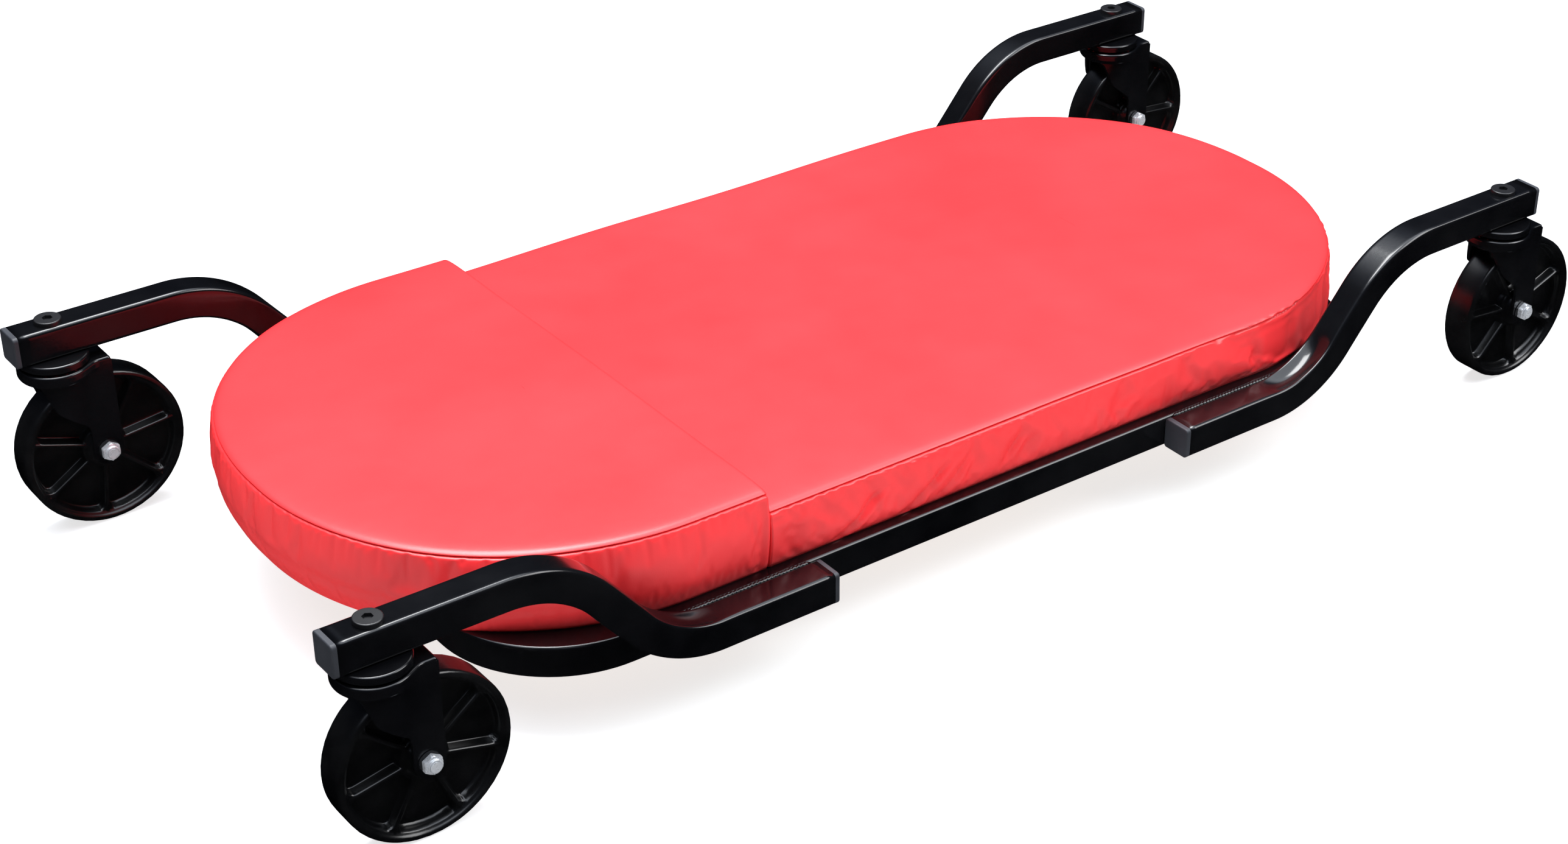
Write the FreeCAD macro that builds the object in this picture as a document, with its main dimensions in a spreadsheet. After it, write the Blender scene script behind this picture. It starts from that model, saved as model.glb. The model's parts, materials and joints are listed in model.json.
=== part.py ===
import FreeCAD, Part
import math
import os
import re

import Sketcher
from FreeCAD import Placement, Rotation, Vector

# A padded mechanics creeper: a racetrack-shaped upholstered deck with a raised head section,
# on a low loop of square tube.  Four S-bent arms rise from the side rails to four swivel
# casters that stand outside the deck.  All lengths are millimetres.  +X runs to the foot end,
# +Y to the left of someone lying on the deck, +Z is up, and the floor is z = 0.

doc = FreeCAD.newDocument("creeper")
sheet = doc.addObject("Spreadsheet::Sheet", "Dim")

# Driving dimensions first, then the ones worked out from them.
DIMENSIONS = [
    # square tube
    ("tube_size", "25"),
    ("tube_wall", "2"),
    ("tube_corner", "3"),
    # frame loop below the deck
    ("frame_length", "830"),
    ("frame_width", "456"),
    ("frame_corner", "95"),
    ("frame_top", "74.5"),
    ("brace_spot", "150"),
    # S-bent arms, measured from the middle of the deck
    ("kingpin_spot", "518"),
    ("arm_inner_end", "169"),
    ("arm_outer_end", "546"),
    ("arm_low_bend", "302.3"),
    ("arm_high_bend", "383.8"),
    ("arm_bend_radius", "90"),
    ("arm_rise", "97"),
    # tube plugs
    ("plug_flange", "4"),
    ("plug_spigot", "12"),
    ("plug_round", "1.2"),
    # deck
    ("deck_length", "950"),
    ("deck_width", "441"),
    ("deck_corner", "214"),
    ("deck_shift", "-2.5"),
    ("deck_edge", "6"),
    ("deck_tuck", "6"),
    ("cover_thick", "1.2"),
    ("hem_width", "30"),
    ("board_inset", "6.5"),
    ("board_thick", "9"),
    ("body_top", "123.7"),
    ("head_top", "139.5"),
    ("head_seam", "-198.5"),
    # wood screws that hold the deck down
    ("screw_radius", "2.4"),
    ("screw_head_radius", "4.8"),
    ("screw_head_height", "2.2"),
    ("screw_bite", "7.5"),
    ("screw_brace_spot", "130"),
    ("screw_end_spot", "60"),
    # caster
    ("trail", "25"),
    ("running_gap", "0.3"),
    ("shaft_gap", "0.075"),
    ("kingpin_radius", "5"),
    ("kingpin_head_radius", "10"),
    ("kingpin_head_height", "3.5"),
    ("kingpin_head_round", "1"),
    ("kingpin_socket", "3.4"),
    ("kingpin_socket_floor", "1"),
    ("kingpin_nut_flats", "17"),
    ("kingpin_nut_height", "8"),
    ("kingpin_tail", "2"),
    ("race_radius", "26"),
    ("race_height", "5.5"),
    ("race_plate", "2.2"),
    ("race_lip", "2"),
    ("race_round", "1.8"),
    ("ball_radius", "2.5"),
    ("ball_circle", "19.5"),
    ("ball_count", "16"),
    ("sheet_thick", "2.5"),
    ("skirt_radius", "22.1"),
    ("flange_radius", "27.5"),
    ("cup_depth", "8"),
    ("cup_round", "4.5"),
    ("crown_round", "2.2"),
    ("neck_round", "9"),
    ("leg_gap", "30"),
    ("leg_front", "13.5"),
    ("leg_back", "36.5"),
    ("leg_round", "11.4"),
    ("cheek_front", "-10"),
    ("cheek_drop", "31"),
    ("cheek_round", "10"),
    ("brow_front", "-18"),
    ("brow_round", "6"),
    ("front_round", "2"),
    ("knee_drop", "50"),
    ("knee_round", "14"),
    ("trim_reach", "60"),
    ("boss_radius", "9.5"),
    ("boss_height", "0.6"),
    ("axle_radius", "4"),
    ("axle_flats", "13"),
    ("axle_nut_height", "6.2"),
    ("washer_thick", "0.9"),
    ("nut_hex_height", "4.34"),
    ("nut_collar_radius", "5.59"),
    ("axle_tip", "0.5"),
    ("washer_radius", "8"),
    ("sleeve_radius", "6"),
    # wheel
    ("wheel_radius", "62.5"),
    ("wheel_width", "26"),
    ("wheel_round", "3"),
    ("hub_radius", "15.5"),
    ("hub_length", "29"),
    ("hub_bevel", "3.5"),
    ("hub_round", "1.2"),
    ("rim_inner", "55.5"),
    ("rim_bevel", "3.2"),
    ("rim_step", "1"),
    ("rim_round", "1.5"),
    ("rib_plane", "10.5"),
    ("web_thick", "5"),
    ("rib_thick", "3.6"),
    ("rib_count", "7"),
    ("pocket_start", "1.5"),
    ("pocket_inner_round", "2"),
    ("pocket_outer_round", "6"),
    ("pocket_arc_round", "24"),
    # worked out
    ("frame_spot", "=-trail"),
    ("deck_spot", "=frame_spot + deck_shift"),
    ("tube_half", "=tube_size / 2"),
    ("bore_half", "=tube_half - tube_wall"),
    ("bore_corner", "=tube_corner - tube_wall"),
    ("frame_line_end", "=frame_length / 2 - tube_half"),
    ("frame_line_side", "=frame_width / 2 - tube_half"),
    ("frame_line_corner", "=frame_corner - tube_half"),
    ("low_line", "=frame_top - tube_half"),
    ("high_line", "=low_line + arm_rise"),
    ("frame_under", "=frame_top - tube_size"),
    ("arm_under", "=high_line - tube_half"),
    ("arm_over", "=high_line + tube_half"),
    ("arm_side", "=frame_width / 2 + tube_half"),
    ("deck_half_length", "=deck_length / 2"),
    ("deck_half_width", "=deck_width / 2"),
    ("board_under", "=frame_top + cover_thick"),
    ("board_over", "=board_under + board_thick"),
    ("race_under", "=arm_under - race_height"),
    ("race_ceiling", "=arm_under - race_plate"),
    ("ball_line", "=race_ceiling - ball_radius"),
    ("crown_over", "=ball_line - ball_radius - running_gap"),
    ("crown_under", "=crown_over - sheet_thick"),
    ("kingpin_nut_over", "=crown_under - running_gap"),
    ("kingpin_nut_under", "=kingpin_nut_over - kingpin_nut_height"),
    ("kingpin_under", "=kingpin_nut_under - kingpin_tail"),
    ("leg_inside", "=leg_gap / 2"),
    ("leg_outside", "=leg_inside + sheet_thick"),
    ("boss_face", "=leg_outside + boss_height"),
    ("leg_foot", "=wheel_radius - leg_round - 0.1"),
    ("shell_low", "=leg_foot - 1"),
    ("cup_under", "=crown_under - cup_depth"),
    ("wheel_half", "=wheel_width / 2"),
    ("hub_half", "=hub_length / 2"),
]

for row, (alias, content) in enumerate(DIMENSIONS, start=1):
    sheet.set("A%d" % row, alias)
    sheet.set("B%d" % row, content)
    sheet.setAlias("B%d" % row, alias)
doc.recompute()

SIDES = {"left": 1, "right": -1}
ENDS = {"foot": 1, "head": -1}

# Where the first rib of each wheel points, in degrees up from +X; the wheels stopped anyhow.
RIB_ANGLE = {
    ("head", "left"): 7,
    ("foot", "left"): -5,
    ("head", "right"): -15,
    ("foot", "right"): 20,
}

NAME_PATTERN = re.compile(r"\b(%s)\b" % "|".join(row[0] for row in DIMENSIONS))

pieces = []


def number(expression):
    """Value of an expression that may use the sheet's names."""
    return float(sheet.evalExpression(str(expression)))


def bound(expression):
    """The same expression as seen from another object of the document."""
    return NAME_PATTERN.sub(r"Dim.\1", str(expression))


def new_body(label, several=False):
    body = doc.addObject("PartDesign::Body", label)
    body.Label = label
    if several:
        body.AllowCompound = True
    pieces.append(body)
    return body


def place(body, x=None, y=None, z=None, turn=None):
    """Put a sub-part at bound positions, turned about one axis."""
    if turn is not None:
        body.Placement = Placement(Vector(), Rotation(*turn))
    for axis, expression in (("x", x), ("y", y), ("z", z)):
        if expression is not None:
            body.setExpression("Placement.Base." + axis, bound(expression))


def origin_item(body, role):
    """One of the body's own origin planes or axes."""
    return [item for item in body.Origin.OriginFeatures if item.Role == role][0]


def new_sketch(body, name, plane, height=None):
    """A sketch on one of the body's own planes, moved along its normal by height."""
    sketch = body.newObject("Sketcher::SketchObject", name)
    sketch.AttachmentSupport = [(origin_item(body, plane), "")]
    sketch.MapMode = "FlatFace"
    if height is not None:
        sketch.setExpression("AttachmentOffset.Base.z", bound(height))
    return sketch


def hold(sketch, kind, geometry, point, expression):
    """Bind one coordinate of a sketch point to an expression."""
    wanted = number(expression)
    index = sketch.addConstraint(Sketcher.Constraint(kind, -1, 1, geometry, point, wanted))
    sketch.setExpression("Constraints[%d]" % index, bound(expression))


def hold_point(sketch, geometry, point, corner):
    hold(sketch, "DistanceX", geometry, point, corner[0])
    hold(sketch, "DistanceY", geometry, point, corner[1])


def unit(start, end):
    return (end - start).normalize()


def outline(sketch, corners, closed=True):
    """Lines through the corners (x, y) or (x, y, radius), every value bound to the sheet."""
    spots = [Vector(number(corner[0]), number(corner[1]), 0) for corner in corners]
    radii = [number(corner[2]) if len(corner) > 2 else 0 for corner in corners]
    count = len(spots)
    arriving = list(spots)
    leaving = list(spots)
    centres = [None] * count
    for i in range(count):
        if not radii[i]:
            continue
        back = unit(spots[i], spots[i - 1])
        ahead = unit(spots[i], spots[(i + 1) % count])
        half_angle = back.getAngle(ahead) / 2
        reach = radii[i] / math.tan(half_angle)
        arriving[i] = spots[i] + back * reach
        leaving[i] = spots[i] + ahead * reach
        centres[i] = spots[i] + (back + ahead).normalize() * (radii[i] / math.sin(half_angle))
    lines = []
    for i in range(count if closed else count - 1):
        segment = Part.LineSegment(leaving[i], arriving[(i + 1) % count])
        lines.append(sketch.addGeometry(segment, False))
    for i in range(count):
        before = lines[i - 1] if closed or i > 0 else None
        after = lines[i] if closed or i < count - 1 else None
        if centres[i] is None:
            if before is not None and after is not None:
                sketch.addConstraint(Sketcher.Constraint("Coincident", before, 2, after, 1))
            if after is not None:
                hold_point(sketch, after, 1, corners[i])
            else:
                hold_point(sketch, before, 2, corners[i])
            continue
        middle = centres[i] + (spots[i] - centres[i]).normalize() * radii[i]
        curve = Part.Arc(arriving[i], middle, leaving[i])
        arc = sketch.addGeometry(curve, False)
        turns_left = (spots[i] - arriving[i]).cross(leaving[i] - spots[i]).z > 0
        first, last = (1, 2) if turns_left else (2, 1)
        sketch.addConstraint(Sketcher.Constraint("Tangent", before, 2, arc, first))
        sketch.addConstraint(Sketcher.Constraint("Tangent", arc, last, after, 1))
        index = sketch.addConstraint(Sketcher.Constraint("Radius", arc, radii[i]))
        sketch.setExpression("Constraints[%d]" % index, bound(corners[i][2]))
        corner_point = sketch.addGeometry(Part.Point(spots[i]), True)
        hold_point(sketch, corner_point, 1, corners[i])
        sketch.addConstraint(Sketcher.Constraint("PointOnObject", corner_point, 1, before))
        sketch.addConstraint(Sketcher.Constraint("PointOnObject", corner_point, 1, after))


def circle(sketch, x, y, radius):
    """A circle with its centre and radius bound to the sheet."""
    centre = Vector(number(x), number(y), 0)
    ring = sketch.addGeometry(Part.Circle(centre, Vector(0, 0, 1), number(radius)), False)
    hold_point(sketch, ring, 3, (x, y))
    index = sketch.addConstraint(Sketcher.Constraint("Radius", ring, number(radius)))
    sketch.setExpression("Constraints[%d]" % index, bound(radius))


def rectangle(sketch, x_low, x_high, y_low, y_high, corner=0):
    outline(sketch, [(x_low, y_low, corner), (x_high, y_low, corner),
                     (x_high, y_high, corner), (x_low, y_high, corner)])


def hexagon(sketch, flats):
    """A hexagon about the sketch origin, flats apart as given."""
    half = "(%s) / 2" % flats
    tip = "(%s) / sqrt(3)" % flats
    shoulder = "(%s) / (2 * sqrt(3))" % flats
    outline(sketch, [(half, shoulder), ("0", tip), ("-" + half, shoulder),
                     ("-" + half, "-" + shoulder), ("0", "-" + tip), (half, "-" + shoulder)])


def pad(body, name, sketch, length, reversed_side=False, both=False):
    feature = body.newObject("PartDesign::Pad", name)
    feature.Profile = sketch
    feature.setExpression("Length", bound(length))
    feature.Reversed = reversed_side
    feature.Midplane = both
    return feature


def pocket(body, name, sketch, length, reversed_side=False, both=False):
    feature = body.newObject("PartDesign::Pocket", name)
    feature.Profile = sketch
    feature.setExpression("Length", bound(length))
    feature.Reversed = reversed_side
    feature.Midplane = both
    return feature


def revolve(body, name, sketch, axis):
    feature = body.newObject("PartDesign::Revolution", name)
    feature.Profile = sketch
    feature.ReferenceAxis = (sketch, [axis])
    feature.Angle = 360
    return feature


def fillet(body, name, base, radius, wanted):
    """Round every edge of the base feature for which wanted(edge) holds."""
    doc.recompute()
    edges = []
    for place_in_list, edge in enumerate(base.Shape.Edges, start=1):
        if wanted(edge):
            edges.append("Edge%d" % place_in_list)
    feature = body.newObject("PartDesign::Fillet", name)
    feature.Base = (base, edges)
    feature.setExpression("Radius", bound(radius))
    return feature


def polar(body, name, feature, axis, count):
    pattern = body.newObject("PartDesign::PolarPattern", name)
    pattern.Originals = [feature]
    pattern.Axis = (origin_item(body, axis), [""])
    pattern.Angle = 360
    pattern.setExpression("Occurrences", bound(count))
    body.Tip = pattern
    return pattern


def tube_profile(body, name, plane, height, across, up):
    """Square tube section, outer and inner loop, on a plane at the start of its path."""
    sketch = new_sketch(body, name, plane, height)
    for half, corner in (("tube_half", "tube_corner"), ("bore_half", "bore_corner")):
        rectangle(sketch, "%s - %s" % (across, half), "%s + %s" % (across, half),
                  "%s - %s" % (up, half), "%s + %s" % (up, half), corner)
    return sketch


def bent_tube(body, profile, path):
    pipe = body.newObject("PartDesign::AdditivePipe", "tube")
    pipe.Profile = profile
    pipe.Spine = path
    pipe.Mode = "Standard"
    pipe.Transition = "Transformed"
    return pipe


def screw_spots(end):
    """Screw positions from the middle of the deck: along a brace and across a frame end."""
    across = ["-screw_brace_spot", "0", "screw_brace_spot"]
    spots = [("%d * brace_spot" % end, y) for y in across]
    spots += [("%d * frame_line_end" % end, y) for y in ("-screw_end_spot", "screw_end_spot")]
    return spots


def make_frame_half(end_name):
    """Half of the frame loop, a U of square tube butt-welded to the other half."""
    body = new_body("frame_%s_half" % end_name)
    end = ENDS[end_name]
    path = new_sketch(body, "path", "XY_Plane", "low_line")
    outline(path, [("0", "-frame_line_side"),
                   ("%d * frame_line_end" % end, "-frame_line_side", "frame_line_corner"),
                   ("%d * frame_line_end" % end, "frame_line_side", "frame_line_corner"),
                   ("0", "frame_line_side")], closed=False)
    profile = tube_profile(body, "section", "YZ_Plane", "0", "-frame_line_side", "low_line")
    bent_tube(body, profile, path)
    holes = new_sketch(body, "screw_holes", "XY_Plane", "frame_under")
    for x, y in screw_spots(end)[3:]:
        circle(holes, x, y, "screw_radius")
    pocket(body, "screw_passage", holes, "tube_size", reversed_side=True)
    place(body, x="frame_spot")


def make_brace(end_name):
    """Cross brace between the side rails."""
    body = new_body("brace_" + end_name)
    end = ENDS[end_name]
    spot = "%d * brace_spot" % end
    profile = tube_profile(body, "section", "XZ_Plane", "0", spot, "low_line")
    pad(body, "tube", profile, "frame_width - 2 * tube_size", both=True)
    holes = new_sketch(body, "screw_holes", "XY_Plane", "frame_under")
    for x, y in screw_spots(end)[:3]:
        circle(holes, x, y, "screw_radius")
    pocket(body, "screw_passage", holes, "tube_size", reversed_side=True)
    place(body, x="frame_spot")


def make_arm(end_name, side_name):
    """Arm: welded along the side rail, then bent up and over to the caster."""
    body = new_body("arm_%s_%s" % (end_name, side_name))
    path = new_sketch(body, "path", "XZ_Plane")
    outline(path, [("arm_inner_end", "low_line"),
                   ("arm_low_bend", "low_line", "arm_bend_radius"),
                   ("arm_high_bend", "high_line", "arm_bend_radius"),
                   ("arm_outer_end", "high_line")], closed=False)
    profile = tube_profile(body, "section", "YZ_Plane", "arm_inner_end", "0", "low_line")
    bent_tube(body, profile, path)
    hole = new_sketch(body, "kingpin_hole", "XY_Plane", "arm_under")
    circle(hole, "kingpin_spot", "0", "kingpin_radius")
    pocket(body, "kingpin_passage", hole, "tube_size", reversed_side=True)
    place_on_side(body, end_name, side_name)


def place_on_side(body, end_name, side_name):
    if ENDS[end_name] < 0:
        body.Placement = Placement(Vector(), Rotation(Vector(0, 0, 1), 180))
    place(body, x="frame_spot", y="%d * arm_side" % SIDES[side_name])


def make_plug(label, end_name, side_name, outer):
    """Plastic plug: a flange over the tube end and a spigot pushed into the bore."""
    body = new_body(label)
    mouth = "arm_outer_end" if outer else "arm_inner_end"
    height = "high_line" if outer else "low_line"
    flange_sketch = new_sketch(body, "flange_outline", "YZ_Plane", mouth)
    rectangle(flange_sketch, "-tube_half", "tube_half", height + " - tube_half",
              height + " + tube_half", "tube_corner")
    flange = pad(body, "flange", flange_sketch, "plug_flange", reversed_side=not outer)
    spigot_sketch = new_sketch(body, "spigot_outline", "YZ_Plane", mouth)
    rectangle(spigot_sketch, "-bore_half", "bore_half", height + " - bore_half",
              height + " + bore_half", "bore_corner")
    pad(body, "spigot", spigot_sketch, "plug_spigot", reversed_side=outer)
    far = number(mouth) + (1 if outer else -1) * number("plug_flange")
    last = body.Tip
    fillet(body, "soft_edge", last, "plug_round",
           lambda edge: abs(edge.BoundBox.XMin - far) < 0.01 and edge.BoundBox.XLength < 0.01)
    place_on_side(body, end_name, side_name)


def deck_outline(sketch, inset, low=None, high=None):
    """Racetrack of the deck, or the part of it between the ends named low and high."""
    x_edge = "deck_half_length - (%s)" % inset
    y_edge = "deck_half_width - (%s)" % inset
    corner = "deck_corner - (%s)" % inset
    if low is None:
        first = [("-(%s)" % x_edge, "-(%s)" % y_edge, corner)]
        last = [("-(%s)" % x_edge, y_edge, corner)]
    else:
        first = [(low, "-(%s)" % y_edge)]
        last = [(low, y_edge)]
    if high is None:
        middle = [(x_edge, "-(%s)" % y_edge, corner), (x_edge, y_edge, corner)]
    else:
        middle = [(high, "-(%s)" % y_edge), (high, y_edge)]
    outline(sketch, first + middle + last)


def make_board():
    """Plywood board that carries the foam."""
    body = new_body("deck_board")
    shape = new_sketch(body, "outline", "XY_Plane", "board_under")
    deck_outline(shape, "board_inset")
    pad(body, "board", shape, "board_thick")
    holes = new_sketch(body, "screw_holes", "XY_Plane", "board_under")
    for end in ENDS.values():
        for x, y in screw_spots(end):
            circle(holes, x + " - deck_shift", y, "screw_radius")
    pocket(body, "screw_bores", holes, "screw_bite", reversed_side=True)
    place(body, x="deck_spot")
    return body


def make_screws():
    """Wood screws from below, through braces and frame ends into the board."""
    body = new_body("board_screws", several=True)
    shanks = new_sketch(body, "shanks_plan", "XY_Plane", "frame_under")
    heads = new_sketch(body, "heads_plan", "XY_Plane", "frame_under")
    for end in ENDS.values():
        for x, y in screw_spots(end):
            circle(shanks, x, y, "screw_radius")
            circle(heads, x, y, "screw_head_radius")
    pad(body, "shanks", shanks, "board_under - frame_under + screw_bite")
    pad(body, "heads", heads, "screw_head_height", reversed_side=True)
    place(body, x="frame_spot")
    return body


def rim_edges(height, seam_x):
    """Test for a deck block's edges at one height, leaving out the ones on the seam plane."""
    def wanted(edge):
        box = edge.BoundBox
        level = box.ZLength < 0.01 and abs(box.ZMin - height) < 0.01
        on_seam = box.XLength < 0.01 and abs(box.XMin - seam_x) < 0.01
        return level and not on_seam
    return wanted


def make_foam(label, low, high, over):
    """Foam block on the board, cut to the deck outline less the cover."""
    body = new_body(label)
    shape = new_sketch(body, "outline", "XY_Plane", "board_over")
    deck_outline(shape, "cover_thick", low=low, high=high)
    block = pad(body, "block", shape, "%s - cover_thick - board_over" % over)
    seam = number("head_seam") if low else number("deck_half_length")
    fillet(body, "top_edge", block, "deck_edge - cover_thick",
           rim_edges(number(over + " - cover_thick"), seam))
    place(body, x="deck_spot")
    return body


def make_outside(label, low, high, over):
    """Outside shape of a cover, rounded above and tucked in below."""
    body = doc.addObject("PartDesign::Body", label)
    shape = new_sketch(body, "outline", "XY_Plane", "frame_top")
    deck_outline(shape, "0", low=low, high=high)
    block = pad(body, "block", shape, "%s - frame_top" % over)
    seam = number("head_seam")
    top_seam = seam if low else number("deck_half_length")
    rounded = fillet(body, "top_edge", block, "deck_edge", rim_edges(number(over), top_seam))
    fillet(body, "tuck", rounded, "deck_tuck", rim_edges(number("frame_top"), seam))
    place(body, x="deck_spot")
    return body


def make_cover(label, block, fillings, low, high):
    """Sewn cover: the block less its filling and board, open below inside the hem."""
    window = doc.addObject("PartDesign::Body", label + "_window")
    shape = new_sketch(window, "outline", "XY_Plane", "frame_top - 1")
    deck_outline(shape, "hem_width", low=low, high=high)
    pad(window, "opening", shape, "cover_thick + 2")
    place(window, x="deck_spot")
    contents = doc.addObject("Part::MultiFuse", label + "_contents")
    contents.Shapes = fillings + [window]
    cover = doc.addObject("Part::Cut", label)
    cover.Base = block
    cover.Tool = contents
    cover.Label = label
    pieces.append(cover)


def make_deck():
    core = [make_board(), make_screws()]
    body_foam = make_foam("body_foam", "head_seam", None, "body_top")
    head_foam = make_foam("head_foam", None, "head_seam - cover_thick", "head_top")
    body_outside = make_outside("body_outside", "head_seam", None, "body_top")
    head_outside = make_outside("head_outside", None, "head_seam", "head_top")
    make_cover("body_cover", body_outside, core + [body_foam], "head_seam", None)
    make_cover("head_cover", head_outside, core + [head_foam], None, "head_seam")


def caster_body(kind, caster, several=False):
    return new_body("%s_%s_%s" % ((kind,) + caster), several)


def stand_at(body, caster, forward="0", height=None):
    """Place a caster piece at its kingpin, or forward of it along X."""
    end_name, side_name = caster
    place(body, x="frame_spot + %d * kingpin_spot + %s" % (ENDS[end_name], forward),
          y="%d * arm_side" % SIDES[side_name], z=height)


def make_kingpin(caster):
    """Low-head socket screw through the arm; the caster swivels on it."""
    bolt = caster_body("kingpin_bolt", caster)
    profile = new_sketch(bolt, "profile", "XZ_Plane")
    outline(profile, [("0", "kingpin_under"), ("kingpin_radius", "kingpin_under"),
                      ("kingpin_radius", "arm_over"), ("kingpin_head_radius", "arm_over"),
                      ("kingpin_head_radius", "arm_over + kingpin_head_height",
                       "kingpin_head_round"),
                      ("0", "arm_over + kingpin_head_height")])
    revolve(bolt, "bolt", profile, "V_Axis")
    socket = new_sketch(bolt, "socket_outline", "XY_Plane",
                        "arm_over + kingpin_head_height")
    hexagon(socket, "2 * kingpin_socket")
    pocket(bolt, "socket", socket, "kingpin_head_height - kingpin_socket_floor")
    stand_at(bolt, caster)

    nut = caster_body("kingpin_nut", caster)
    shape = new_sketch(nut, "outline", "XY_Plane", "kingpin_nut_under")
    hexagon(shape, "kingpin_nut_flats")
    circle(shape, "0", "0", "kingpin_radius")
    pad(nut, "nut", shape, "kingpin_nut_height")
    stand_at(nut, caster)


def make_race_cap(caster):
    """Upper half of the swivel bearing, a shallow cup clamped under the arm."""
    body = caster_body("race_cap", caster)
    profile = new_sketch(body, "profile", "XZ_Plane")
    outline(profile, [("kingpin_radius", "race_ceiling"),
                      ("race_radius - race_lip", "race_ceiling"),
                      ("race_radius - race_lip", "race_under"),
                      ("race_radius", "race_under"),
                      ("race_radius", "arm_under", "race_round"),
                      ("kingpin_radius", "arm_under")])
    revolve(body, "cup", profile, "V_Axis")
    stand_at(body, caster)


def make_balls(caster):
    """Ring of bearing balls under the upper race."""
    body = caster_body("balls", caster, several=True)
    ball = body.newObject("PartDesign::AdditiveSphere", "ball")
    ball.setExpression("Radius", bound("ball_radius"))
    ball.AttachmentSupport = [(origin_item(body, "XY_Plane"), "")]
    ball.MapMode = "FlatFace"
    ball.setExpression("AttachmentOffset.Base.x", bound("ball_circle"))
    ball.setExpression("AttachmentOffset.Base.z", bound("ball_line"))
    polar(body, "ring", ball, "Z_Axis", "ball_count")
    stand_at(body, caster)


def make_fork(caster):
    """Pressed-steel fork: round crown with a skirt, squared tail and two tapering legs."""
    body = caster_body("fork", caster)
    crown_plan = new_sketch(body, "crown_plan", "XY_Plane", "cup_under")
    crown_outline(crown_plan)
    crown = pad(body, "crown", crown_plan, "crown_over - cup_under")
    bottom = number("cup_under")
    tail_end = number("leg_back")
    fillet(body, "cup_round", crown, "cup_round",
           lambda edge: edge.BoundBox.ZMax < bottom + 0.01 and edge.BoundBox.XMin < tail_end - 1)
    shell_height = "crown_under - shell_low"
    cup = new_sketch(body, "skirt_plan", "XY_Plane", "shell_low")
    circle(cup, "0", "0", "skirt_radius")
    pad(body, "skirt", cup, shell_height)
    tail = new_sketch(body, "tail_plan", "XY_Plane", "shell_low")
    rectangle(tail, "0", "leg_back", "-leg_outside", "leg_outside")
    shell = pad(body, "tail", tail, shell_height)
    top = number("crown_over")
    fillet(body, "crown_edge", shell, "crown_round",
           lambda edge: edge.BoundBox.ZMin > top - 0.01)
    skirt_room = new_sketch(body, "skirt_room_plan", "XY_Plane", "shell_low")
    circle(skirt_room, "0", "0", "skirt_radius - sheet_thick")
    pocket(body, "skirt_room", skirt_room, shell_height, reversed_side=True)
    tail_room = new_sketch(body, "tail_room_plan", "XY_Plane", "shell_low")
    rectangle(tail_room, "0", "leg_back + 1", "-leg_inside", "leg_inside")
    pocket(body, "tail_room", tail_room, shell_height, reversed_side=True)
    trim = new_sketch(body, "leg_outline", "XZ_Plane")
    rectangle(trim, "-trim_reach", "trim_reach", "leg_foot - trim_reach", "crown_over + 10")
    outline(trim, [("leg_back", "leg_foot", "leg_round"), ("leg_back", "crown_over + 5"),
                   ("5 - trim_reach", "crown_over + 5"),
                   ("5 - trim_reach", "cup_under", "front_round"),
                   ("brow_front", "cup_under", "brow_round"),
                   ("cheek_front", "crown_under - cheek_drop", "cheek_round"),
                   ("leg_front", "crown_under - knee_drop", "knee_round"),
                   ("leg_front", "leg_foot", "leg_round")])
    pocket(body, "leg_trim", trim, "4 * skirt_radius", both=True)
    for side_sign in SIDES.values():
        boss = new_sketch(body, "boss_outline", "XZ_Plane", "%d * leg_outside" % side_sign)
        circle(boss, "trail", "wheel_radius", "boss_radius")
        pad(body, "boss", boss, "boss_height", reversed_side=side_sign < 0)
    pin_hole = new_sketch(body, "kingpin_hole", "XY_Plane", "crown_under")
    circle(pin_hole, "0", "0", "kingpin_radius + shaft_gap")
    pocket(body, "kingpin_bore", pin_hole, "sheet_thick", reversed_side=True)
    axle_hole = new_sketch(body, "axle_hole", "XZ_Plane")
    circle(axle_hole, "trail", "wheel_radius", "axle_radius")
    pocket(body, "axle_bore", axle_hole, "4 * skirt_radius", both=True)
    stand_at(body, caster)


def crown_outline(sketch):
    """Round crown that runs into the straight sides of the tail with a hollow curve."""
    reach = "flange_radius / cos(30 deg)"
    neck = "flange_radius * cos(60 deg) + (flange_radius * sin(60 deg) - leg_outside) * tan(60 deg)"
    bend = "flange_radius - 0.3"
    corners = [("leg_back", "-leg_outside", "crown_round"), ("leg_back", "leg_outside", "crown_round"),
               (neck, "leg_outside", "neck_round")]
    for angle in (90, 150, 210, 270):
        corners.append(("%s * cos(%d deg)" % (reach, angle), "%s * sin(%d deg)" % (reach, angle), bend))
    corners.append((neck, "-leg_outside", "neck_round"))
    outline(sketch, corners)


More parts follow.
